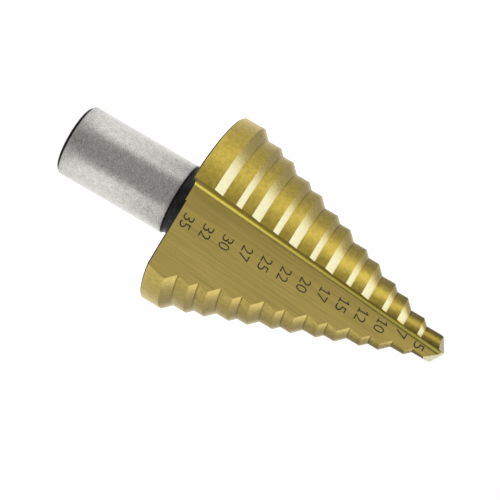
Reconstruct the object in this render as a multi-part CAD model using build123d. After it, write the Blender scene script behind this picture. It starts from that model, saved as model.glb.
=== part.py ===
from build123d import *

# A thirteen-step drill for sheet metal, standing on its shank with the point up.
#
# All sizes are in millimetres. Z runs up the axis from the shank's end face, and the
# flute that carries the size numbers faces -Y. Angles round the axis are counted from
# -Y towards +X, which is also the way the tool turns when it cuts. The two lands and
# the two flutes are alike, half a turn apart.

import os
from math import atan2, cos, degrees, radians, sin, tan

os.makedirs("parts", exist_ok=True)

# Steps: the one that starts the hole, and how much wider each further one is, by turns.
STEP_COUNT = 13
SMALLEST_DIAMETER = 5.0
SMALL_RISE = 2.0
LARGE_RISE = 3.0
STEP_PITCH = 3.5
LARGEST_BAND = 4.1
SHOULDER_ANGLE = 45.0
SMALLEST_STEP_LENGTH = 4.3

# Shank, and the neck between it and the largest step.
SHANK_DIAMETER = 13.0
SHANK_LENGTH = 21.0
SHANK_END_CHAMFER = 0.6
SHANK_FRONT_CHAMFER = 0.25
NECK_DIAMETER = 12.3
NECK_LENGTH = 2.6
RIM_CHAMFER = 0.25

# Relief of the shoulders: the angle at which a land's cutting edge lies, the most that
# a shoulder falls, and how far behind the edge it is lowest.
EDGE_ANGLE = -13.0
RELIEF_FALL = 0.32
RELIEF_TURN = 155.0

# Flute: its inner corner at the point and at the back, and its two walls.
CORNER_TIP_SIDE = 0.10
CORNER_TIP_DEPTH = 0.38
CORNER_BACK_SIDE = -3.65
CORNER_BACK_DEPTH = 11.85
FLOOR_TILT = 4.6
WALL_LEAN = 7.0
FLUTE_CORNER_RADIUS = 0.7
FLUTE_BACK_CHAMFER = 0.3
CHAMFER_FROM_CORNER = 3.3

# Angle, inside the flute, of the plane that parts the two lands.
PARTING_ANGLE = 15.0

# Point: two main faces, and a notch in each land that splits the point. The notch's steep
# face would meet the axis a little above the point.
POINT_ANGLE = 135.0
POINT_RELIEF = 20.0
LIP_ANGLE = -9.0
NOTCH_SLOPE = 50.2
NOTCH_TURN = 52.5
NOTCH_RISE = 0.34

# Lengths by which discs run into each other and cutters run past what they cut.
DISC_OVERLAP = 1.2
CUTTER_REACH = 60.0
PAST_END = 5.0

HALF_TURN = 180.0
QUARTER_TURN = 90.0
BODY_BACK = SHANK_LENGTH + NECK_LENGTH
LAST_STEP = STEP_COUNT - 1


def step_diameters():
    """Diameters from the largest step, which is the first, down to the smallest."""
    diameters = [SMALLEST_DIAMETER]
    while len(diameters) < STEP_COUNT:
        diameters.append(diameters[-1] + SMALL_RISE)
        diameters.append(diameters[-1] + LARGE_RISE)
    return diameters[:STEP_COUNT][::-1]


STEP_DIAMETERS = step_diameters()
LARGEST_RADIUS = STEP_DIAMETERS[0] / 2


def direction_at(angle):
    """Unit vector that points outwards at an angle round the axis."""
    return Vector(sin(radians(angle)), -cos(radians(angle)), 0)


def shoulder_length(number):
    """Length along the axis of the shoulder in front of a step."""
    drop = (STEP_DIAMETERS[number] - STEP_DIAMETERS[number + 1]) / 2
    return drop / tan(radians(SHOULDER_ANGLE))


def step_start(number):
    """Height at which a step's full diameter begins."""
    if number == 0:
        return BODY_BACK
    second = BODY_BACK + LARGEST_BAND + shoulder_length(0)
    return second + (number - 1) * STEP_PITCH


def point_height():
    """Height of the point, in front of the smallest step."""
    return step_start(LAST_STEP) + SMALLEST_STEP_LENGTH


def step_end(number):
    """Height at which a larger step's full diameter ends, at the cutting edge."""
    return step_start(number + 1) - shoulder_length(number)


def upright_cylinder(radius, bottom, top):
    """Cylinder on the axis between two heights."""
    align = (Align.CENTER, Align.CENTER, Align.MIN)
    return Pos(0, 0, bottom) * Cylinder(radius, top - bottom, align=align)


def shoulder_cone(number):
    """Cone that ends a step, leaning back from the land's cutting edge."""
    radius = STEP_DIAMETERS[number] / 2
    slope = tan(radians(SHOULDER_ANGLE))
    below = step_end(number) - step_start(number) + 2 * DISC_OVERLAP
    top_radius = STEP_DIAMETERS[number + 1] / 2 - DISC_OVERLAP / 2
    above = (radius - top_radius) / slope
    align = (Align.CENTER, Align.CENTER, Align.MIN)
    cone = Cone(radius + below * slope, top_radius, below + above, align=align)
    pivot = step_end(number) + RELIEF_FALL * cos(radians(RELIEF_TURN))
    cone = Pos(0, 0, pivot - below) * cone
    lowest = direction_at(EDGE_ANGLE - RELIEF_TURN)
    lean = degrees(atan2(RELIEF_FALL, radius))
    return cone.rotate(Axis((0, 0, pivot), (-lowest.Y, lowest.X, 0)), lean)


def step_disc(number):
    """One step of a land: a cylinder that its leaning shoulder ends."""
    radius = STEP_DIAMETERS[number] / 2
    bottom = step_start(number)
    if number > 0:
        bottom = bottom - DISC_OVERLAP
    if number == LAST_STEP:
        return upright_cylinder(radius, bottom, point_height())
    disc = upright_cylinder(radius, bottom, step_start(number + 1) + DISC_OVERLAP)
    return disc & shoulder_cone(number)


def stepped_body():
    """Both lands, each with its own relief, joined into one stepped cone."""
    discs = [step_disc(number) for number in range(STEP_COUNT)]
    land = discs[0].fuse(*discs[1:])
    align = (Align.MAX, Align.CENTER, Align.MIN)
    half = Box(CUTTER_REACH, 2 * CUTTER_REACH, point_height() + PAST_END, align=align)
    land = land & (Rot(0, 0, PARTING_ANGLE) * half)
    return land.fuse(Rot(0, 0, HALF_TURN) * land)


def corner_point(height):
    """Place of the flute's inner corner at a height."""
    back = Vector(CORNER_BACK_SIDE, -CORNER_BACK_DEPTH, BODY_BACK)
    tip = Vector(CORNER_TIP_SIDE, -CORNER_TIP_DEPTH, point_height())
    share = (height - BODY_BACK) / (point_height() - BODY_BACK)
    return back + (tip - back) * share


def floor_direction():
    """Level direction along the flute's floor, away from the corner."""
    return direction_at(QUARTER_TURN - FLOOR_TILT)


def wall_direction():
    """Level direction up the flute's cutting wall, away from the corner."""
    return direction_at(-WALL_LEAN)


def flute():
    """Material that the numbered flute takes out, with its rounded inner corner."""
    start = corner_point(BODY_BACK - PAST_END)
    end = corner_point(point_height() + PAST_END)
    floor = floor_direction() * CUTTER_REACH
    wall = wall_direction() * CUTTER_REACH
    corners = [start, start + floor, start + floor + wall, start + wall]
    section = make_face(Polyline(*corners, close=True))
    inner = section.vertices().sort_by_distance(start)[0]
    section = fillet(inner, FLUTE_CORNER_RADIUS)
    run = end - start
    return extrude(section, amount=run.length, dir=run.normalized())


def flute_back_chamfer():
    """Bar that chamfers the back end of the flute's floor, short of the inner corner."""
    start = corner_point(BODY_BACK) + floor_direction() * CHAMFER_FROM_CORNER
    out = floor_direction().cross(Vector(0, 0, 1))
    up = Vector(0, 0, 1)
    inner = start - out * FLUTE_BACK_CHAMFER
    upper = start + up * FLUTE_BACK_CHAMFER
    beyond = start + out * PAST_END - up * PAST_END
    corners = [
        inner + (inner - upper),
        upper + (upper - inner),
        beyond,
    ]
    section = make_face(Polyline(*corners, close=True))
    return extrude(section, amount=2 * LARGEST_RADIUS, dir=floor_direction())


def block_above(origin, normal):
    """Large block that stands on a plane, on the side its normal points to."""
    align = (Align.CENTER, Align.CENTER, Align.MIN)
    block = Box(CUTTER_REACH, CUTTER_REACH, CUTTER_REACH, align=align)
    return Plane(origin=origin, z_dir=normal) * block


def point_face():
    """Material above one main face of the point, which falls away behind its lip."""
    lip = direction_at(LIP_ANGLE)
    behind = direction_at(LIP_ANGLE - QUARTER_TURN)
    fall_along = 1 / tan(radians(POINT_ANGLE / 2))
    fall_behind = tan(radians(POINT_RELIEF))
    normal = lip * fall_along + behind * fall_behind + Vector(0, 0, 1)
    return block_above((0, 0, point_height()), normal)


def point_notch():
    """Notch that splits the point, between the flute's wall and a steep face."""
    steep = direction_at(NOTCH_TURN) * tan(radians(NOTCH_SLOPE)) + Vector(0, 0, 1)
    above = block_above((0, 0, point_height() + NOTCH_RISE), steep)
    run = corner_point(point_height()) - corner_point(BODY_BACK)
    beside = block_above(corner_point(point_height()), run.cross(wall_direction()))
    return above & beside


def turned(points):
    """Solid turned round the axis from radius and height pairs, closed on the axis."""
    outline = [(0, points[0][1]), *points, (0, points[-1][1])]
    return revolve(make_face(Plane.XZ * Polyline(*outline, close=True)), Axis.Z)


def shank_and_neck():
    """Plain round shank with a slightly smaller neck, turned in one piece."""
    shank = SHANK_DIAMETER / 2
    neck = NECK_DIAMETER / 2
    inside_body = BODY_BACK + DISC_OVERLAP
    return turned([
        (shank - SHANK_END_CHAMFER, 0),
        (shank, SHANK_END_CHAMFER),
        (shank, SHANK_LENGTH - SHANK_FRONT_CHAMFER),
        (shank - SHANK_FRONT_CHAMFER, SHANK_LENGTH),
        (neck, SHANK_LENGTH),
        (neck, inside_body),
    ])


def rim_limit():
    """Envelope that leaves a small chamfer on the back rim of the largest step."""
    wide = LARGEST_RADIUS + PAST_END
    return turned([
        (LARGEST_RADIUS - RIM_CHAMFER, BODY_BACK),
        (wide, BODY_BACK + RIM_CHAMFER + PAST_END),
        (wide, point_height() + PAST_END),
    ])


def step_drill():
    """The whole tool as one solid."""
    body = stepped_body() & rim_limit()
    for cutter in [flute(), flute_back_chamfer(), point_face(), point_notch()]:
        body = body - cutter
        body = body - Rot(0, 0, HALF_TURN) * cutter
    return body + shank_and_neck()


tool = step_drill()
export_step(tool, "parts/step_drill.step")
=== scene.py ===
"""Dressed model of a step drill for sheet metal, and the studio that it stands in.

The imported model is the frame: the drill stands on the end of its shank, its axis is Z
and the flute with the size numbers faces -Y. The drill is shaped here the way the real
one is made. A profile is turned round the axis, the shoulders are leaned back behind
their cutting edges, and the flutes and the point are ground out of it. Shaping is done
in millimetres, and a finished piece is then brought to metres.
"""

import logging
import math
from dataclasses import dataclass, field
from enum import Enum
from typing import Iterable, Sequence, Union

import bpy
from mathutils import Matrix, Quaternion, Vector


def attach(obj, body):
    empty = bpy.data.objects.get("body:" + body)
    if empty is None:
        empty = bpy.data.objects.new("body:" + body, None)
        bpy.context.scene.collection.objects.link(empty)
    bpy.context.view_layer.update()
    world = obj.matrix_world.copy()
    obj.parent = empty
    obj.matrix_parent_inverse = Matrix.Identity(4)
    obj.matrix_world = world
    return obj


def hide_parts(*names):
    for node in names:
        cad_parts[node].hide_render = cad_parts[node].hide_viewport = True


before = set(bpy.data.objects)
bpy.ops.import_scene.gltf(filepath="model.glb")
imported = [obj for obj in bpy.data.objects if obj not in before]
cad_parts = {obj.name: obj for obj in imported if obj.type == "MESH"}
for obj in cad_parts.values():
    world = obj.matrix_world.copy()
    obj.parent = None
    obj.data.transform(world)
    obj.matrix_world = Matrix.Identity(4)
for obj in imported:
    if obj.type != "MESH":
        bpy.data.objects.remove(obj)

LOG = logging.getLogger("step_drill")
NODE = "step_drill"
BODY = "root"
METRES_PER_MM = 0.001
HALF_TURN = math.pi
QUARTER = 90.0
UP = Vector((0.0, 0.0, 1.0))
WHITE = (1.0, 1.0, 1.0, 1.0)
Triple = tuple[float, float, float]
Number = Union[float, "Value"]

# Turns in degrees that bring the first land, or flute, to its own place and to the other's.
LANDS = (0.0, 180.0)

# What both the mesh and its finishes follow, in millimetres and degrees: the angle of the
# first cutting edge from -Y towards +X, how far behind an edge its shoulders are lowest, the
# distance of the steps, the height of the second one, and how far the flute's corner leans
# across and away from the axis with each millimetre of height.
EDGE_ANGLE = -13.0
RELIEF_TURN = 155.0
STEP_PITCH = 3.5
SECOND_STEP = 29.2
FLUTE_LEAN = (0.0775, 0.237)

# Painted shade in the corner in front of a shoulder, with a film of it over the rest of the
# band: how far the shoulder's foot sinks on the mean and to either side of it, how strong the
# film is, where in the width the shade thins out to it, how far below the second step it sets
# in, and at which angles behind the cutting edge.
FOOT_SINK = (0.29, 0.23)
SHADE_FILM = 0.28
SHADE_START = 0.2
SHADE_BELOW = (1.0, 0.8)
SHADE_TURNS = (15.0, 55.0)

# Sockets of a Mix node that mixes colours, and the mean of a noise.
MIX_FACTOR, MIX_FIRST, MIX_SECOND, MIX_RESULT = 0, 6, 7, 2
MEAN_NOISE = 0.5

# Distances in millimetres: within which vertices merge, a hair's breadth, how far off a
# ring its vertices lie at most, the size of an uncut wheel, and how far the blank and a
# wheel reach past what is cut.
WELD = 0.0004
HAIR = 0.01
RING_SLACK = 0.1
WHEEL_SIZE = 200.0
BLANK_PAST = 1.0
WHEEL_PAST = 2.0

# How faces are told apart: how far a normal points up or down, and how near to an end the
# face lies. Then the level part of a turned face's normal, how well that points outwards,
# and how well a normal fits the flute's planes or its rounded corner. The last is the angle
# in degrees below which an edge is smooth.
FACING = 0.3
NEAR_END = 0.5
LEAST_LEVEL = 0.2
LEAST_OUTWARD = 0.95
SAME_WAY = 0.998
NEAR_CORNER = 0.72
SMOOTH_BELOW = 20.0


class Zone(Enum):
    """Surfaces of the drill that differ in finish and in painted light, numbered as the mesh's
    slots.
    """

    SHANK = 0
    NECK = 1
    BAND = 2
    SHOULDER = 3
    FLUTE = 4
    WALL = 5
    FILLET = 6
    POINT = 7
    END = 8


@dataclass(frozen=True)
class Grain:
    """Noise pattern on a surface.

    Attributes:
        per_mm: How many units of the pattern go in a millimetre, along each axis.
        detail: Number of finer layers.
        rough: Strength of the finer layers.
        turn: Rotation in degrees about each axis, before the scaling.
    """

    per_mm: Triple
    detail: float
    rough: float
    turn: Triple = (0.0, 0.0, 0.0)


@dataclass(frozen=True)
class Texture:
    """Fine and wide pattern of a surface, and what they change.

    Attributes:
        fine: Fine pattern, which is also the relief.
        wide: Wide pattern.
        fine_share: Share of the fine pattern in the tone.
        levels: Levels of the mixed patterns at which the tone is 0 and 1.
        swings: How much the fine and the wide pattern change the roughness.
        relief: Height of the relief, in millimetres.
    """

    fine: Grain
    wide: Grain
    fine_share: float
    levels: tuple[float, float]
    swings: tuple[float, float]
    relief: float


@dataclass(frozen=True)
class Value:
    """Output socket of a material, so that sums of shader values read as plain sums.

    Attributes:
        sheet: Node sheet that the socket belongs to.
        socket: Output socket that carries the value.
    """

    sheet: "NodeSheet"
    socket: bpy.types.NodeSocket

    def __add__(self, other: Number) -> "Value":
        """Sum of two values."""
        return self.sheet.math("ADD", self, other)

    def __sub__(self, other: Number) -> "Value":
        """Difference of two values."""
        return self.sheet.math("SUBTRACT", self, other)

    def __rsub__(self, other: Number) -> "Value":
        """Difference of two values, this one taken away."""
        return self.sheet.math("SUBTRACT", other, self)

    def __mul__(self, other: Number) -> "Value":
        """Product of two values."""
        return self.sheet.math("MULTIPLY", self, other)

    __radd__ = __add__
    __rmul__ = __mul__


class NodeSheet:
    """Node tree of one material or world, with one method that adds any node."""

    def __init__(self, owner: Union[bpy.types.Material, bpy.types.World]) -> None:
        """Start an empty sheet.

        Args:
            owner: Material or world whose nodes are written.
        """
        owner.use_nodes = True
        self.tree = owner.node_tree
        self.tree.nodes.clear()

    def node(
        self, kind: str, inputs: dict | None = None, settings: dict | None = None
    ) -> bpy.types.Node:
        """Add a node.

        Args:
            kind: Type of the node.
            inputs: Values or links of its sockets, by name or number.
            settings: Properties to set first.

        Returns:
            The new node.
        """
        node = self.tree.nodes.new(kind)
        for name, setting in (settings or {}).items():
            setattr(node, name, setting)
        for name, given in (inputs or {}).items():
            if isinstance(given, Value):
                self.tree.links.new(given.socket, node.inputs[name])
            else:
                node.inputs[name].default_value = given
        return node

    def value(self, node: bpy.types.Node, output: Union[str, int] = 0) -> Value:
        """Wrap an output of a node."""
        return Value(self, node.outputs[output])

    def math(self, operation: str, *terms: Number) -> Value:
        """Add a Math node.

        Args:
            operation: Name of the operation.
            terms: Its values, in order.

        Returns:
            The result.
        """
        inputs = dict(enumerate(terms))
        return self.value(self.node("ShaderNodeMath", inputs, {"operation": operation}))

    def place(self) -> Value:
        """Object coordinates, in metres."""
        return self.value(self.node("ShaderNodeTexCoord"), "Object")

    def parts_of(self, vector: Value) -> tuple[Value, Value, Value]:
        """The three components of a vector."""
        node = self.node("ShaderNodeSeparateXYZ", {0: vector})
        return self.value(node, 0), self.value(node, 1), self.value(node, 2)

    def along_flute(self, place: Value) -> Value:
        """Coordinates whose Z runs along the flute's corner, on both flutes."""
        across, away, up = self.parts_of(place)
        rise = self.math("SIGN", away) * up
        inputs = {0: across + rise * FLUTE_LEAN[0], 1: away + rise * FLUTE_LEAN[1], 2: up}
        return self.value(self.node("ShaderNodeCombineXYZ", inputs))

    def turn_behind(self, place: Value) -> Value:
        """Angle in radians behind the cutting edge, from 0 to half a turn on each land."""
        across, away, _ = self.parts_of(place)
        angle = self.math("ARCTAN2", across, 0.0 - away)
        return self.math("FLOORED_MODULO", math.radians(EDGE_ANGLE) - angle, HALF_TURN)

    def shade_up(self, place: Value, shade: Sequence[float]) -> Value:
        """Factor that falls off with the height.

        Args:
            place: Object coordinates.
            shade: How much it falls, and the heights in millimetres between which it does.

        Returns:
            The factor.
        """
        depth, start, end = shade
        height = self.parts_of(place)[2]
        return 1.0 - depth * self.between(height, start * METRES_PER_MM, end * METRES_PER_MM)

    def foot_grime(self, place: Value, behind: Value, width: float) -> Value:
        """Painted shade in the corner in front of each shoulder, which sets in behind the
        cutting edge.

        Args:
            place: Object coordinates.
            behind: Angle behind the cutting edge, in radians.
            width: How far it reaches up from the shoulder's foot, in millimetres.

        Returns:
            One along the shoulder's foot, and less where there is only a film of painted shade.
        """
        height = self.parts_of(place)[2] * (1.0 / METRES_PER_MM)
        fall = self.math("COSINE", behind - math.radians(RELIEF_TURN))
        sink = FOOT_SINK[0] + FOOT_SINK[1] * fall
        above = self.math("FLOORED_MODULO", height - SECOND_STEP + sink, STEP_PITCH)
        thinned = self.between(above, SHADE_START * width, width)
        start, end = (SECOND_STEP - below for below in SHADE_BELOW)
        first, last = (math.radians(angle) for angle in SHADE_TURNS)
        placed = self.between(height, start, end) * self.between(behind, first, last)
        return (1.0 - (1.0 - SHADE_FILM) * thinned) * placed

    def scaled(self, colour: Value, factor: Number) -> Value:
        """Colour made darker by a factor."""
        inputs = {0: colour, "Scale": factor}
        return self.value(self.node("ShaderNodeVectorMath", inputs, {"operation": "SCALE"}))

    def noise(self, place: Value, grain: Grain) -> Value:
        """Noise with one blotch to a unit of its coordinates.

        Args:
            place: Coordinates in metres.
            grain: The pattern.

        Returns:
            Grey value about one half.
        """
        turn = tuple(math.radians(angle) for angle in grain.turn)
        turned = self.node("ShaderNodeMapping", {"Vector": place, "Rotation": turn})
        scale = tuple(each / METRES_PER_MM for each in grain.per_mm)
        inputs = {"Vector": self.value(turned), "Scale": scale}
        inputs = {
            "Vector": self.value(self.node("ShaderNodeMapping", inputs)),
            "Scale": 1.0,
            "Detail": grain.detail,
            "Roughness": grain.rough,
        }
        return self.value(self.node("ShaderNodeTexNoise", inputs), "Fac")

    def between(self, value: Value, low: float, high: float) -> Value:
        """Smooth step from 0 to 1 as a value goes from one level to another."""
        inputs = {"Value": value, "From Min": low, "From Max": high}
        settings = {"interpolation_type": "SMOOTHSTEP"}
        return self.value(self.node("ShaderNodeMapRange", inputs, settings))

    def blend(self, factor: Number, first: Triple, second: Triple) -> Value:
        """Mix two colours.

        Args:
            factor: Share of the second colour.
            first: Colour at factor 0.
            second: Colour at factor 1.

        Returns:
            The mixed colour.
        """
        inputs = {MIX_FACTOR: factor, MIX_FIRST: (*first, 1.0), MIX_SECOND: (*second, 1.0)}
        return self.value(self.node("ShaderNodeMix", inputs, {"data_type": "RGBA"}), MIX_RESULT)

    def texture(self, place: Value, texture: Texture) -> tuple[Value, Value, Value]:
        """Lay the fine and the wide pattern of a texture.

        Args:
            place: Coordinates in metres.
            texture: The patterns, and what they change.

        Returns:
            The tone from 0 to 1, the change of roughness, and the normal.
        """
        fine = self.noise(place, texture.fine)
        wide = self.noise(place, texture.wide)
        mixed = wide * (1.0 - texture.fine_share) + fine * texture.fine_share
        fine_swing, wide_swing = texture.swings
        swing = fine_swing * (fine - MEAN_NOISE) + wide_swing * (wide - MEAN_NOISE)
        depth = texture.relief * METRES_PER_MM
        relief = {"Height": fine, "Distance": depth, "Strength": 1.0}
        normal = self.value(self.node("ShaderNodeBump", relief))
        return self.between(mixed, *texture.levels), swing, normal

    def metal(self, inputs: dict) -> None:
        """Finish the sheet with a metal surface that has the given values and links."""
        surface = self.node("ShaderNodeBsdfPrincipled", {"Metallic": 1.0, **inputs})
        self.node("ShaderNodeOutputMaterial", {"Surface": self.value(surface)})


@dataclass(frozen=True)
class Finish:
    """Metal surface with two colours that its texture mixes.

    Attributes:
        name: Name of the material.
        pale: Colour at tone 1.
        deep: Colour at tone 0.
        roughness: Mean roughness.
        texture: Patterns of the surface.
        shade: How much darker it gets, and the heights in millimetres between which it does.
        brushed: Whether the patterns run along the flutes.
        metallic: How far it is bare metal.
    """

    name: str
    pale: Triple
    deep: Triple
    roughness: float
    texture: Texture
    shade: Sequence[float] = (0.0, 0.0, 1.0)
    brushed: bool = False
    metallic: float = 1.0

    def make(self) -> bpy.types.Material:
        """Make the material.

        Returns:
            The finished material.
        """
        material = bpy.data.materials.new(self.name)
        sheet = NodeSheet(material)
        place = sheet.place()
        run = sheet.along_flute(place) if self.brushed else place
        tone, swing, normal = sheet.texture(run, self.texture)
        colour = sheet.blend(tone, self.deep, self.pale)
        sheet.metal({
            "Base Color": sheet.scaled(colour, sheet.shade_up(place, self.shade)),
            "Metallic": self.metallic,
            "Roughness": self.roughness + swing,
            "Normal": normal,
        })
        return material


@dataclass(frozen=True)
class SatinCoating:
    """Gold-coloured coating over a fine satin surface, on the lands.

    Attributes:
        name: Name of the material.
        edge: Colour next to the cutting edge; on the shoulders its pale cream is a painted
            highlight.
        back: Colour well behind the cutting edge.
        fade: Where one goes over into the other, in degrees behind the edge.
        roughness: Mean roughness.
        texture: Patterns of the surface.
        depth: How much darker it is at tone 0.
        shade: How much darker it gets, and the heights in millimetres between which it does.
        grime: How dark the painted shade in front of a shoulder is, and its width in
            millimetres.
    """

    name: str
    edge: Triple
    back: Triple
    fade: tuple[float, float]
    roughness: float
    texture: Texture
    depth: float
    shade: Sequence[float] = (0.0, 0.0, 1.0)
    grime: tuple[float, float] = (0.0, 1.0)

    def make(self) -> bpy.types.Material:
        """Make the material.

        Returns:
            The finished material.
        """
        material = bpy.data.materials.new(self.name)
        sheet = NodeSheet(material)
        place = sheet.place()
        behind = sheet.turn_behind(place)
        start, end = (math.radians(angle) for angle in self.fade)
        colour = sheet.blend(sheet.between(behind, start, end), self.edge, self.back)
        tone, swing, normal = sheet.texture(place, self.texture)
        factor = sheet.shade_up(place, self.shade) * (1.0 - self.depth * (1.0 - tone))
        # Painted shade in the corner at each shoulder's foot, and a thinner film of it over the
        # band.
        darkness, width = self.grime
        factor = factor * (1.0 - darkness * sheet.foot_grime(place, behind, width))
        sheet.metal({
            "Base Color": sheet.scaled(colour, factor),
            "Roughness": self.roughness + swing,
            "Normal": normal,
        })
        return material


def satin(blotches_per_mm: float) -> Texture:
    """Texture of a satin surface, with blotches of a given fineness."""
    return Texture(
        fine=Grain((7.0, 7.0, 7.0), 2.0, 0.6),
        wide=Grain((blotches_per_mm,) * 3, 3.0, 0.6),
        fine_share=0.45,
        levels=(0.34, 0.66),
        swings=(0.16, 0.12),
        relief=0.006,
    )


GRINDING_LINES = Texture(
    fine=Grain((5.0, 5.0, 0.08), 3.0, 0.75),
    wide=Grain((0.8, 0.8, 0.02), 2.0, 0.5),
    fine_share=0.8,
    levels=(0.38, 0.62),
    swings=(0.2, 0.1),
    relief=0.004,
)
SLANTING_GRAIN = Texture(
    fine=Grain((9.0, 7.0, 3.6), 3.0, 0.8, turn=(0.0, -50.0, 0.0)),
    wide=Grain((1.1, 1.1, 1.1), 3.0, 0.6),
    fine_share=0.8,
    levels=(0.36, 0.64),
    swings=(0.2, 0.08),
    relief=0.008,
)
OXIDE_RINGS = Texture(
    fine=Grain((0.6, 0.6, 9.0), 2.0, 0.5),
    wide=Grain((1.6, 1.6, 1.6), 3.0, 0.6),
    fine_share=0.4,
    levels=(0.45, 0.8),
    swings=(0.0, 0.2),
    relief=0.004,
)
BURNT_SPECKS = Texture(
    fine=Grain((6.0, 6.0, 6.0), 2.0, 0.6),
    wide=Grain((6.0, 6.0, 6.0), 2.0, 0.6),
    fine_share=1.0,
    levels=(0.3, 0.75),
    swings=(0.2, 0.0),
    relief=0.01,
)
FINISHES_AND_PAINTED_LIGHT = {
    Zone.SHANK: Finish(
        "ground_steel", (0.74, 0.725, 0.69), (0.36, 0.35, 0.33), 0.27, SLANTING_GRAIN,
        shade=(0.35, 20.1, 20.9),
    ),
    Zone.END: Finish(
        "shank_end_oxide", (0.05, 0.05, 0.05), (0.02, 0.02, 0.02), 0.5, OXIDE_RINGS,
    ),
    Zone.NECK: Finish(
        "dark_oxide", (0.085, 0.085, 0.084), (0.03, 0.03, 0.03), 0.4, OXIDE_RINGS,
    ),
    # The bands carry painted shade in front of each shoulder, and darken towards the point as
    # painted shade.
    Zone.BAND: SatinCoating(
        "satin_coating", (0.76, 0.57, 0.105), (0.70, 0.54, 0.145), (20.0, 75.0), 0.37,
        satin(1.3), 0.3, shade=(0.5, 52.0, 74.0), grime=(0.55, 0.36),
    ),
    # Next to the cutting edge the shoulders' pale cream is a painted highlight; behind it is
    # the coating's own gold.
    Zone.SHOULDER: SatinCoating(
        "coating_with_painted_highlight", (0.76, 0.725, 0.465), (0.77, 0.60, 0.19), (13.0, 34.0), 0.30,
        satin(1.8), 0.15,
    ),
    Zone.FLUTE: Finish(
        "brushed_coating", (0.95, 0.735, 0.215), (0.77, 0.59, 0.165), 0.42, GRINDING_LINES,
        brushed=True,
    ),
    # The wall's colour is the brushed coating darkened as painted shade, and it darkens further
    # towards the point.
    Zone.WALL: Finish(
        "wall_coating_painted_shade", (0.35, 0.30, 0.085), (0.28, 0.245, 0.07), 0.42, GRINDING_LINES,
        shade=(0.55, 22.0, 60.0), brushed=True,
    ),
    Zone.FILLET: Finish(
        "corner_coating", (0.78, 0.68, 0.16), (0.66, 0.58, 0.13), 0.42, GRINDING_LINES,
        shade=(0.55, 22.0, 60.0), brushed=True,
    ),
    # The point's pale cream colour is a painted highlight over the gold coating.
    Zone.POINT: SatinCoating(
        "point_coating_painted_highlight", (1.0, 0.94, 0.60), (1.0, 0.94, 0.60), (0.0, 90.0), 0.30,
        satin(2.6), 0.12,
    ),
}
MARK = Finish(
    "burnt_mark", (0.11, 0.09, 0.07), (0.035, 0.027, 0.022), 0.6, BURNT_SPECKS, metallic=0.3,
)


class Bench:
    """Steps of modelling by hand that several pieces use."""

    @staticmethod
    def deselect() -> None:
        """Leave edit mode and deselect everything."""
        if bpy.context.object and bpy.context.object.mode != "OBJECT":
            bpy.ops.object.mode_set(mode="OBJECT")
        bpy.ops.object.select_all(action="DESELECT")

    @classmethod
    def take(cls, piece: bpy.types.Object) -> None:
        """Make a piece the only selected and the active one."""
        cls.deselect()
        piece.select_set(True)
        bpy.context.view_layer.objects.active = piece

    @classmethod
    def edit(cls, piece: bpy.types.Object, kind: str = "VERT") -> None:
        """Open a piece in edit mode, to select what is named, with nothing selected yet."""
        cls.take(piece)
        bpy.ops.object.mode_set(mode="EDIT")
        bpy.ops.mesh.select_mode(type=kind)
        bpy.ops.mesh.select_all(action="DESELECT")

    @classmethod
    def pick(cls, piece: bpy.types.Object, numbers: Iterable[int]) -> None:
        """Open a piece in edit mode with the vertices of given numbers selected."""
        cls.edit(piece)
        bpy.ops.object.mode_set(mode="OBJECT")
        for number in numbers:
            piece.data.vertices[number].select = True
        bpy.ops.object.mode_set(mode="EDIT")

    @classmethod
    def weld(cls, piece: bpy.types.Object) -> None:
        """Merge doubled vertices and turn the faces outwards."""
        cls.edit(piece)
        bpy.ops.mesh.select_all(action="SELECT")
        bpy.ops.mesh.remove_doubles(threshold=WELD)
        bpy.ops.mesh.normals_make_consistent(inside=False)
        cls.deselect()

    @classmethod
    def slice(cls, piece: bpy.types.Object, point: Vector, normal: Vector) -> None:
        """Cut away what lies in front of a plane and close the cut.

        Args:
            piece: The piece.
            point: A point on the plane.
            normal: Direction that the plane faces.
        """
        cls.edit(piece)
        bpy.ops.mesh.select_all(action="SELECT")
        bpy.ops.mesh.bisect(
            plane_co=point,
            plane_no=normal,
            use_fill=True,
            clear_outer=True,
            threshold=WELD / 4.0,
        )
        cls.deselect()

    @classmethod
    def wheel(cls, name: str, planes: Sequence[tuple[Vector, Vector]]) -> bpy.types.Object:
        """Grinding wheel: a block bounded by planes, to be taken out of a piece.

        Args:
            name: Name of the block.
            planes: Point and outward normal of each plane.

        Returns:
            The block.
        """
        cls.deselect()
        bpy.ops.mesh.primitive_cube_add(size=WHEEL_SIZE)
        block = bpy.context.object
        block.name = name
        for point, normal in planes:
            cls.slice(block, point, normal)
        return block

    @classmethod
    def grind(cls, piece: bpy.types.Object, wheel: bpy.types.Object) -> None:
        """Take a wheel out of a piece, then again after half a turn, and remove it.

        Args:
            piece: The piece.
            wheel: The block to take out.
        """
        for turn in (0.0, HALF_TURN):
            wheel.rotation_euler = (0.0, 0.0, turn)
            bpy.context.view_layer.update()
            cls.take(piece)
            cut = piece.modifiers.new("cut", "BOOLEAN")
            cut.operation = "DIFFERENCE"
            cut.solver = "EXACT"
            cut.object = wheel
            bpy.ops.object.modifier_apply(modifier=cut.name)
        bpy.data.objects.remove(wheel, do_unlink=True)

    @classmethod
    def to_metres(cls, piece: bpy.types.Object) -> None:
        """Bring a piece from millimetres to metres, with its object unscaled."""
        cls.take(piece)
        piece.scale = (METRES_PER_MM,) * 3
        bpy.ops.object.transform_apply(location=True, rotation=True, scale=True)


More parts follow.
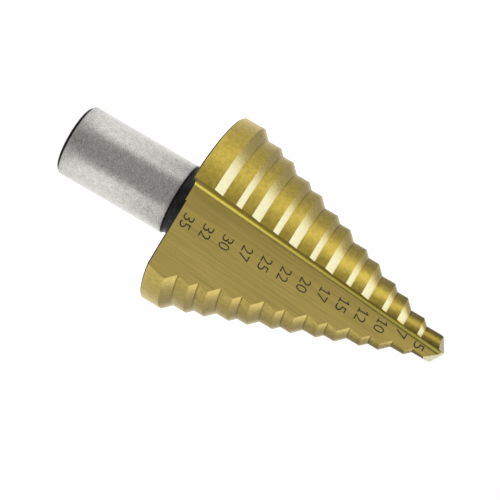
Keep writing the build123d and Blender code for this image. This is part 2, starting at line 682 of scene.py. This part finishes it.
@dataclass
class Drill:
    """The drill, turned and ground as one closed mesh. Lengths are in millimetres.

    Attributes:
        shank_radius: Radius of the shank.
        shank_length: Length of the shank.
        shank_end_chamfer: Chamfer at the shank's end.
        shank_front_chamfer: Chamfer where the shank meets the neck.
        neck_radius: Radius of the neck.
        neck_length: Length of the neck.
        rim_chamfer: Chamfer on the back rim of the largest step.
        radii: Radius of each step, the largest first.
        largest_band: Length of the largest step's full diameter.
        height: Height of the point.
        relief_fall: Half of how far a shoulder leans.
        corner_back: Inner corner of the flute at the back face.
        corner_tip: Inner corner of the flute at the point.
        floor_tilt: Turn of the flute's floor from +X towards -Y.
        wall_lean: Turn of the flute's wall from -Y towards -X.
        corner_radius: Rounding of the flute's inner corner.
        corner_strips: Number of strips that the rounding is made of.
        back_chamfer: Chamfer at the back end of the flute's floor.
        chamfer_from_corner: Where that chamfer starts, from the inner corner.
        parting_angle: Angle inside the flute at which the lands are told apart.
        point_angle: Angle of the point.
        point_relief: Fall of the point's faces behind their lips.
        lip_angle: Angle of the first lip.
        notch_slope: Slope of the notch that splits the point.
        notch_turn: Direction that the notch's face looks to.
        notch_rise: How far above the point that face would meet the axis.
        turns: Number of strips round the axis.
    """

    shank_radius: float = 6.5
    shank_length: float = 21.0
    shank_end_chamfer: float = 0.6
    shank_front_chamfer: float = 0.25
    neck_radius: float = 6.15
    neck_length: float = 2.6
    rim_chamfer: float = 0.25
    radii: Sequence[float] = (
        17.5, 16.0, 15.0, 13.5, 12.5, 11.0, 10.0, 8.5, 7.5, 6.0, 5.0, 3.5, 2.5,
    )
    largest_band: float = 4.1
    height: float = 72.0
    relief_fall: float = 0.32
    corner_back: Sequence[float] = (-3.65, -11.85)
    corner_tip: Sequence[float] = (0.10, -0.38)
    floor_tilt: float = 4.6
    wall_lean: float = 7.0
    corner_radius: float = 0.7
    corner_strips: int = 8
    back_chamfer: float = 0.3
    chamfer_from_corner: float = 3.3
    parting_angle: float = 15.0
    point_angle: float = 135.0
    point_relief: float = 20.0
    lip_angle: float = -9.0
    notch_slope: float = 50.2
    notch_turn: float = 52.5
    notch_rise: float = 0.34
    turns: int = 240
    piece: bpy.types.Object | None = field(default=None, init=False)

    @property
    def back(self) -> float:
        """Height of the body's back face."""
        return self.shank_length + self.neck_length

    @property
    def along_floor(self) -> Vector:
        """Level direction along the flute's floor, away from its inner corner."""
        return self.outward(QUARTER - self.floor_tilt)

    @property
    def run(self) -> Vector:
        """Direction of the flute's inner corner, towards the point."""
        return (self.corner(self.height) - self.corner(self.back)).normalized()

    @property
    def floor_normal(self) -> Vector:
        """Direction that the flute's floor faces."""
        return self.along_floor.cross(self.run).normalized()

    @property
    def wall_normal(self) -> Vector:
        """Direction that the flute's wall faces."""
        return self.run.cross(self.outward(-self.wall_lean)).normalized()

    @staticmethod
    def outward(angle: float) -> Vector:
        """Level direction at an angle in degrees, from -Y towards +X."""
        return Vector((math.sin(math.radians(angle)), -math.cos(math.radians(angle)), 0.0))

    def shoulder_length(self, number: int) -> float:
        """Length along the axis of the 45 degree shoulder in front of a step."""
        return self.radii[number] - self.radii[number + 1]

    def step_start(self, number: int) -> float:
        """Height at which a step's full diameter begins."""
        if number == 0:
            return self.back
        second = self.back + self.largest_band + self.shoulder_length(0)
        return second + (number - 1) * STEP_PITCH

    def pivot(self, number: int) -> float:
        """Height on the axis about which a step's shoulder leans."""
        edge = self.step_start(number + 1) - self.shoulder_length(number)
        return edge + self.relief_fall * math.cos(math.radians(RELIEF_TURN))

    def profile(self) -> list[tuple[float, float]]:
        """Outline of the turned blank.

        Returns:
            Radius and height of each corner, from the shank's end to the front end.
        """
        corners = [
            (0.0, 0.0),
            (self.shank_radius - self.shank_end_chamfer, 0.0),
            (self.shank_radius, self.shank_end_chamfer),
            (self.shank_radius, self.shank_length - self.shank_front_chamfer),
            (self.shank_radius - self.shank_front_chamfer, self.shank_length),
            (self.neck_radius, self.shank_length),
            (self.neck_radius, self.back),
            (self.radii[0] - self.rim_chamfer, self.back),
            (self.radii[0], self.back + self.rim_chamfer),
        ]
        for number in range(len(self.radii) - 1):
            low = self.pivot(number)
            corners.append((self.radii[number], low))
            corners.append((self.radii[number + 1], low + self.shoulder_length(number)))
        corners.append((self.radii[-1], self.height + BLANK_PAST))
        corners.append((0.0, self.height + BLANK_PAST))
        return corners

    def turn_blank(self) -> None:
        """Draw the outline point by point and turn it round the axis."""
        corners = self.profile()
        Bench.deselect()
        bpy.ops.mesh.primitive_plane_add(size=1.0)
        self.piece = bpy.context.object
        self.piece.name = "drill"
        self.piece.data.name = "drill"
        Bench.edit(self.piece)
        bpy.ops.mesh.select_all(action="SELECT")
        bpy.ops.mesh.merge(type="CENTER")
        for (radius, height), (next_radius, next_height) in zip(corners, corners[1:]):
            step = (next_radius - radius, 0.0, next_height - height)
            bpy.ops.mesh.extrude_region_move(TRANSFORM_OT_translate={"value": step})
        bpy.ops.mesh.select_all(action="SELECT")
        bpy.ops.mesh.spin(
            steps=self.turns,
            angle=2.0 * HALF_TURN,
            center=(0.0, 0.0, 0.0),
            axis=UP,
            use_auto_merge=True,
        )
        Bench.weld(self.piece)

    def lean_shoulders(self) -> None:
        """Lean each shoulder back behind its cutting edge, one land after the other."""
        for land in LANDS:
            half = self.outward(self.parting_angle - QUARTER + land)
            lowest = self.outward(EDGE_ANGLE - RELIEF_TURN + land)
            self.piece.rotation_euler.z = -math.atan2(lowest.y, lowest.x)
            bpy.context.view_layer.update()
            for number in range(len(self.radii) - 1):
                low = self.pivot(number)
                high = low + self.shoulder_length(number)
                outer, inner = self.radii[number], self.radii[number + 1]
                self.lean_ring(low, outer, self.relief_fall, half)
                inner_fall = self.relief_fall * (2.0 * inner - outer) / outer
                self.lean_ring(high, inner, inner_fall, half)
        self.piece.rotation_euler.z = 0.0
        bpy.context.view_layer.update()

    def lean_ring(self, height: float, radius: float, fall: float, half: Vector) -> None:
        """Lean one land's half of a shoulder's edge, with the blank turned to fall to +X.

        Args:
            height: Height of the edge before it leans.
            radius: Radius of the edge.
            fall: How far its lowest point sinks.
            half: Direction, on the blank, of the half that holds the land.
        """
        ring = [
            vertex.index
            for vertex in self.piece.data.vertices
            if abs(vertex.co.z - height) < WELD
            and abs(vertex.co.xy.length - radius) < RING_SLACK
            and vertex.co.dot(half) > 0.0
        ]
        Bench.pick(self.piece, ring)
        bpy.ops.transform.rotate(
            value=-math.atan2(fall, radius),
            orient_axis="Y",
            orient_type="GLOBAL",
            center_override=(0.0, 0.0, height),
        )
        Bench.deselect()

    def corner(self, height: float) -> Vector:
        """Place of the flute's inner corner at a height."""
        back = Vector((*self.corner_back, self.back))
        tip = Vector((*self.corner_tip, self.height))
        return back.lerp(tip, (height - self.back) / (self.height - self.back))

    def grind_flutes(self) -> None:
        """Grind both flutes, with a rounded inner corner."""
        start, run = self.corner(self.back), self.run
        planes = [(start, -self.floor_normal), (start, -self.wall_normal)]
        wheel = Bench.wheel("flute_wheel", planes)
        Bench.edit(wheel, "EDGE")
        bpy.ops.object.mode_set(mode="OBJECT")
        for edge in wheel.data.edges:
            ends = [wheel.data.vertices[number].co for number in edge.vertices]
            edge.select = all((end - start).cross(run).length < HAIR for end in ends)
        bpy.ops.object.mode_set(mode="EDIT")
        opening = HALF_TURN - self.floor_normal.angle(self.wall_normal)
        bpy.ops.mesh.bevel(
            offset_type="OFFSET",
            offset=self.corner_radius / math.tan(opening / 2.0),
            segments=self.corner_strips,
            profile=0.5,
        )
        Bench.deselect()
        Bench.grind(self.piece, wheel)

    def chamfer_flute_backs(self) -> None:
        """Chamfer the back end of each flute's floor, short of the inner corner."""
        out = self.along_floor.cross(UP)
        start = self.corner(self.back) + self.along_floor * self.chamfer_from_corner
        planes = [
            (start + UP * self.back_chamfer, (UP - out).normalized()),
            (start, -self.along_floor),
            (UP * (self.back + WHEEL_PAST), UP),
            (start - out * WHEEL_PAST, -out),
        ]
        Bench.grind(self.piece, Bench.wheel("chamfer_wheel", planes))

    def grind_point(self) -> None:
        """Grind the two main faces of the point and the notches that split it."""
        tip = UP * self.height
        fall_along = 1.0 / math.tan(math.radians(self.point_angle / 2.0))
        fall_behind = math.tan(math.radians(self.point_relief))
        for turn in LANDS:
            lip = self.outward(self.lip_angle + turn)
            behind = self.outward(self.lip_angle + turn - QUARTER)
            normal = lip * fall_along + behind * fall_behind + UP
            Bench.slice(self.piece, tip, normal.normalized())
        slope = math.tan(math.radians(self.notch_slope))
        steep = self.outward(self.notch_turn) * slope + UP
        planes = [
            (tip + UP * self.notch_rise, -steep.normalized()),
            (self.corner(self.height), -self.wall_normal),
        ]
        Bench.grind(self.piece, Bench.wheel("notch_wheel", planes))

    def zone_of(self, face: bpy.types.MeshPolygon) -> Zone:
        """Tell which surface of the drill a face belongs to.

        Args:
            face: The face, in millimetres.

        Returns:
            Its zone.
        """
        centre, normal = face.center, face.normal
        if centre.z < self.shank_end_chamfer - HAIR:
            return Zone.END
        if centre.z < self.shank_length - HAIR:
            return Zone.SHANK
        on_rim = normal.z < -FACING and centre.z < self.back + NEAR_END
        if centre.z < self.back + HAIR or on_rim:
            return Zone.NECK
        last_step = self.step_start(len(self.radii) - 1)
        if centre.z > last_step + NEAR_END and normal.z > FACING:
            return Zone.POINT
        away = Vector((centre.x, centre.y, 0.0)).normalized()
        level = Vector((normal.x, normal.y, 0.0))
        if level.length < LEAST_LEVEL or level.normalized().dot(away) < LEAST_OUTWARD:
            return self.flute_zone_of(normal)
        return Zone.SHOULDER if normal.z > FACING else Zone.BAND

    def flute_zone_of(self, normal: Vector) -> Zone:
        """Tell a flute's floor, wall and rounded corner apart by where a face looks."""
        floor, wall = self.floor_normal, self.wall_normal
        corner = (floor + wall).normalized()
        for turn in LANDS:
            half = Matrix.Rotation(math.radians(turn), 3, "Z")
            if normal.dot(half @ floor) > SAME_WAY:
                return Zone.FLUTE
            if normal.dot(half @ wall) > SAME_WAY:
                return Zone.WALL
            if normal.dot(half @ corner) > NEAR_CORNER:
                return Zone.FILLET
        return Zone.FLUTE

    def dress(self) -> None:
        """Give each surface its finish, painted shade and highlight included, and smooth the
        turned ones.
        """
        for zone in Zone:
            self.piece.data.materials.append(FINISHES_AND_PAINTED_LIGHT[zone].make())
        for face in self.piece.data.polygons:
            face.material_index = self.zone_of(face).value
        Bench.to_metres(self.piece)
        bpy.ops.object.shade_smooth_by_angle(angle=math.radians(SMOOTH_BELOW))

    def build(self) -> bpy.types.Object:
        """Make the drill.

        Returns:
            The finished piece.
        """
        self.turn_blank()
        self.lean_shoulders()
        self.grind_flutes()
        self.chamfer_flute_backs()
        self.grind_point()
        Bench.weld(self.piece)
        self.dress()
        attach(self.piece, BODY)
        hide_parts(NODE)
        return self.piece


@dataclass
class SizeNumbers:
    """Step diameters marked along the front flute. Lengths are in millimetres.

    Attributes:
        drill: The drill that carries them.
        first_height: Height of the middle of the first number.
        spacing: Distance from one number to the next.
        first_left: Left end of the first number.
        drift: How far the left end moves with each millimetre of height.
        tall: Height of a digit.
        wide: Width of a digit.
        gap: Distance between two digits.
        stroke: Thickness of the strokes of a 1.
        foot: Width of the bar under a 1.
        flag: Length of the slanting stroke of a 1.
        thinned: How far the font's strokes are drawn in, against its size.
        proud: Thickness of a mark.
        sunk: How deep its lower side lies in the steel.
        raw: Thickness of a digit as the font makes it, before it is fitted.
    """

    drill: Drill
    first_height: float = 25.6
    spacing: float = 3.525
    first_left: float = 1.40
    drift: float = -0.030
    tall: float = 1.93
    wide: float = 1.08
    gap: float = 0.20
    stroke: float = 0.19
    foot: float = 0.80
    flag: float = 0.52
    thinned: float = 0.009
    proud: float = 0.012
    sunk: float = 0.004
    raw: float = 0.02

    def floor_frame(self) -> tuple[Vector, Matrix]:
        """Frame of the flute's floor.

        Returns:
            A point on the floor, and the directions along, up and out of it.
        """
        along, out = self.drill.along_floor, self.drill.floor_normal
        axes = Matrix((along, out.cross(along), out)).transposed()
        return self.drill.corner(self.drill.back), axes

    def fitted(self, shape: bpy.types.Object, left: float) -> None:
        """Fit a digit into its box on the base line.

        Args:
            shape: The digit, in the XY plane.
            left: Left side of the box.
        """
        corners = [vertex.co.copy() for vertex in shape.data.vertices]
        low = Vector(min(corner[axis] for corner in corners) for axis in range(3))
        high = Vector(max(corner[axis] for corner in corners) for axis in range(3))
        made = (self.wide, self.tall, self.proud)
        sizes = [size / (high[axis] - low[axis]) for axis, size in enumerate(made)]
        place = Matrix.Translation((left, 0.0, 0.0))
        shape.data.transform(place @ Matrix.Diagonal((*sizes, 1.0)) @ Matrix.Translation(-low))

    def digit(self, letter: str) -> bpy.types.Object:
        """Make one digit of the font as a thin solid."""
        Bench.deselect()
        bpy.ops.object.text_add()
        text = bpy.context.object
        text.data.body = letter
        text.data.extrude = self.raw
        text.data.offset = -self.thinned
        bpy.ops.object.convert(target="MESH")
        return bpy.context.object

    def bar(
        self, middle: Sequence[float], size: Sequence[float], turn: float = 0.0
    ) -> bpy.types.Object:
        """Make one straight stroke as a thin solid.

        Args:
            middle: Its middle, across and up.
            size: Its length and thickness.
            turn: How far it is turned, in degrees.

        Returns:
            The stroke.
        """
        Bench.deselect()
        bpy.ops.mesh.primitive_cube_add(size=1.0)
        shape = bpy.context.object
        place = Matrix.Translation((*middle, self.proud / 2.0))
        turned = Matrix.Rotation(math.radians(turn), 4, "Z")
        shape.data.transform(place @ turned @ Matrix.Diagonal((*size, self.proud, 1.0)))
        return shape

    def one(self, left: float) -> list[bpy.types.Object]:
        """Make a 1 with a foot, from a place on the base line."""
        middle = left + self.foot / 2.0
        reach = self.flag / 2.0 / math.sqrt(2.0)
        top = self.tall - self.stroke / 2.0
        return [
            self.bar((middle, self.stroke / 2.0), (self.foot, self.stroke)),
            self.bar((middle, self.tall / 2.0), (self.tall, self.stroke), QUARTER),
            self.bar((middle - reach, top - reach), (self.flag, self.stroke), QUARTER / 2.0),
        ]

    def number_mesh(self, words: str) -> list[bpy.types.Object]:
        """Make one number flat, with its lower left corner at the origin.

        Args:
            words: The digits.

        Returns:
            The thin solids that it consists of.
        """
        shapes = []
        left = 0.0
        for letter in words:
            if letter == "1":
                shapes.extend(self.one(left))
                left += self.foot + self.gap
            else:
                shapes.append(self.digit(letter))
                self.fitted(shapes[-1], left)
                left += self.wide + self.gap
        return shapes

    def build(self) -> bpy.types.Object:
        """Make all numbers as one piece.

        Returns:
            The finished piece.
        """
        start, axes = self.floor_frame()
        numbers = []
        for count, radius in enumerate(self.drill.radii):
            height = self.first_height + self.spacing * count
            left = self.first_left + self.drift * (height - self.first_height)
            left = max(left, self.drill.corner(height).x + self.drill.corner_radius)
            across = (left - start.x) / axes[0][0]
            up = (height - start.z) / axes[2][1] - self.tall / 2.0
            across -= up * axes[0][1] / axes[0][0]
            place = start + axes @ Vector((across, up, -self.sunk))
            for shape in self.number_mesh(str(round(2.0 * radius))):
                shape.data.transform(Matrix.Translation(place) @ axes.to_4x4())
                numbers.append(shape)
        Bench.deselect()
        for number in numbers:
            number.select_set(True)
        bpy.context.view_layer.objects.active = numbers[0]
        bpy.ops.object.join()
        piece = bpy.context.object
        piece.name = "size_numbers"
        piece.data.name = "size_numbers"
        Bench.weld(piece)
        piece.data.materials.append(MARK.make())
        Bench.to_metres(piece)
        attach(piece, BODY)
        return piece


@dataclass(frozen=True)
class Softbox:
    """Soft lamp that faces the drill.

    Attributes:
        name: Name of the lamp.
        place: Where it hangs, in metres.
        size: Its width and height, in metres.
        power: Its power, in watts.
    """

    name: str
    place: Triple
    size: tuple[float, float]
    power: float

    def hang(self, aim: Vector) -> None:
        """Add the lamp, turned towards a point."""
        Bench.deselect()
        bpy.ops.object.light_add(type="AREA", location=self.place)
        lamp = bpy.context.object
        lamp.name = self.name
        lamp.data.shape = "RECTANGLE"
        lamp.data.size, lamp.data.size_y = self.size
        lamp.data.energy = self.power
        lamp.rotation_euler = (Vector(self.place) - aim).to_track_quat("Z", "Y").to_euler()


@dataclass(frozen=True)
class Studio:
    """Pale floor, soft lamps and the camera.

    Attributes:
        aim: Point that the lamps face.
        camera_place: Place of the camera, in metres.
        camera_tilt: How far the camera looks down, in degrees.
        camera_roll: How far it is rolled, in degrees.
        lens: Focal length, in millimetres.
        sensor: Width of the sensor, in millimetres.
        nearest: Distance from which the camera sees, in metres.
        lamps: The soft lamps.
        floor_size: Length of the floor's sides, in metres.
        paper: Colour of the floor under and behind the drill.
        paper_glow: How much it glows where it is seen, so that it shows white.
        paper_spread: How much wider it grows with the distance.
        paper_front: How much sooner it ends in front of the drill than behind.
        paper_edge: Where its soft edge begins and ends, in metres.
        ground: Colour of the floor further out.
        ground_glow: How much that glows where it is seen.
        mirrored: Share of that glow which the metal shows, in front of the drill and behind.
        front_middle: Middle of the front part, across for each metre of depth.
        front_spread: How fast the front part narrows off its middle.
        front_edge: Where the one goes over into the other, in metres.
        room: Brightness of the room, at the level of the drill and high up.
        room_levels: How far up the one begins to go over into the other, and where it ends.
        white_behind: The same for the white behind the drill.
    """

    aim: Triple = (0.0, 0.0, 0.045)
    camera_place: Triple = (0.0014, -0.3066, 0.0731)
    camera_tilt: float = 7.01
    camera_roll: float = 120.34
    lens: float = 132.3
    sensor: float = 36.0
    nearest: float = 0.01
    lamps: Sequence[Softbox] = (
        Softbox("top_softbox", (-0.20, 0.03, 0.60), (0.62, 0.46), 0.95),
        Softbox("left_softbox", (-0.57, -0.235, 0.16), (0.36, 0.60), 1.12),
        Softbox("right_softbox", (0.58, -0.14, 0.22), (0.75, 0.60), 1.7),
        Softbox("back_softbox", (0.40, 0.22, 0.54), (0.25, 0.25), 0.18),
    )
    floor_size: float = 6.0
    paper: Triple = (0.6, 0.6, 0.6)
    paper_glow: float = 0.85
    paper_spread: float = 0.30
    paper_front: float = 0.7
    paper_edge: tuple[float, float] = (0.055, 0.12)
    ground: Triple = (0.55, 0.55, 0.55)
    ground_glow: float = 0.15
    mirrored: tuple[float, float] = (0.0, 1.0)
    front_middle: float = 0.07
    front_spread: float = 1.0
    front_edge: tuple[float, float] = (-0.015, 0.015)
    room: tuple[float, float] = (0.26, 0.38)
    room_levels: tuple[float, float] = (0.05, 0.45)
    white_behind: tuple[float, float] = (0.88, 0.98)

    def set_camera(self) -> None:
        """Add the camera at the photograph's place and angle."""
        bpy.ops.object.camera_add(location=self.camera_place)
        camera = bpy.context.object
        camera.name = "camera"
        camera.data.lens = self.lens
        camera.data.sensor_width = self.sensor
        camera.data.clip_start = self.nearest
        tilt = Quaternion((1.0, 0.0, 0.0), math.radians(QUARTER - self.camera_tilt))
        roll = Quaternion(UP, math.radians(self.camera_roll))
        camera.rotation_euler = (tilt @ roll).to_euler()
        bpy.context.scene.camera = camera

    def lay_floor(self) -> None:
        """Lay a floor that is white under and behind the drill and grey further out."""
        Bench.deselect()
        bpy.ops.mesh.primitive_plane_add(size=self.floor_size, location=(0.0, 0.0, 0.0))
        floor = bpy.context.object
        floor.name = "floor"
        material = bpy.data.materials.new("pale_floor")
        sheet = NodeSheet(material)
        path = sheet.node("ShaderNodeLightPath")
        across, away, _ = sheet.parts_of(sheet.place())
        aside = sheet.math("ABSOLUTE", across - self.front_middle * away)
        front = 0.0 - away - self.front_spread * aside
        before, behind = self.mirrored
        share = behind - (behind - before) * sheet.between(front, *self.front_edge)
        mirrored = sheet.value(path, "Is Glossy Ray") * share
        seen = sheet.math("MAXIMUM", sheet.value(path, "Is Camera Ray"), mirrored)
        outside = sheet.math("ABSOLUTE", across) - self.paper_spread * away
        outside = sheet.math("MAXIMUM", outside, -self.paper_front * away)
        grey = sheet.between(outside, *self.paper_edge)
        colour = sheet.blend(grey, self.paper, self.ground)
        lit = sheet.value(sheet.node("ShaderNodeBsdfDiffuse", {"Color": colour}))
        strength = seen * (self.paper_glow - (self.paper_glow - self.ground_glow) * grey)
        glow = sheet.value(sheet.node("ShaderNodeEmission", {"Strength": strength}))
        both = sheet.value(sheet.node("ShaderNodeAddShader", {0: lit, 1: glow}))
        sheet.node("ShaderNodeOutputMaterial", {"Surface": both})
        floor.data.materials.append(material)

    def light_world(self) -> None:
        """Fill the room with soft grey light, white behind the drill."""
        world = bpy.data.worlds.new("room")
        bpy.context.scene.world = world
        sheet = NodeSheet(world)
        direction = sheet.value(sheet.node("ShaderNodeTexCoord"), "Generated")
        _, away, up = sheet.parts_of(direction)
        white = sheet.between(away, *self.white_behind)
        low, high = self.room
        grey = low + (high - low) * sheet.between(up, *self.room_levels)
        strength = grey + (1.0 - grey) * white
        room = sheet.node("ShaderNodeBackground", {"Color": WHITE, "Strength": strength})
        sheet.node("ShaderNodeOutputWorld", {"Surface": sheet.value(room)})

    def build(self) -> None:
        """Set up the whole studio."""
        self.set_camera()
        self.lay_floor()
        self.light_world()
        for lamp in self.lamps:
            lamp.hang(Vector(self.aim))
        bpy.context.scene.view_settings.view_transform = "Standard"


def main() -> None:
    """Build the drill, its numbers and the studio, and report each piece."""
    logging.basicConfig(level=logging.INFO, format="%(name)s: %(message)s")
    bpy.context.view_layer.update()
    Studio().build()
    drill = Drill()
    numbers = SizeNumbers(drill)
    for part in (drill, numbers):
        piece = part.build()
        LOG.info("%s: %d faces", piece.name, len(piece.data.polygons))


if __name__ == "__main__":
    main()
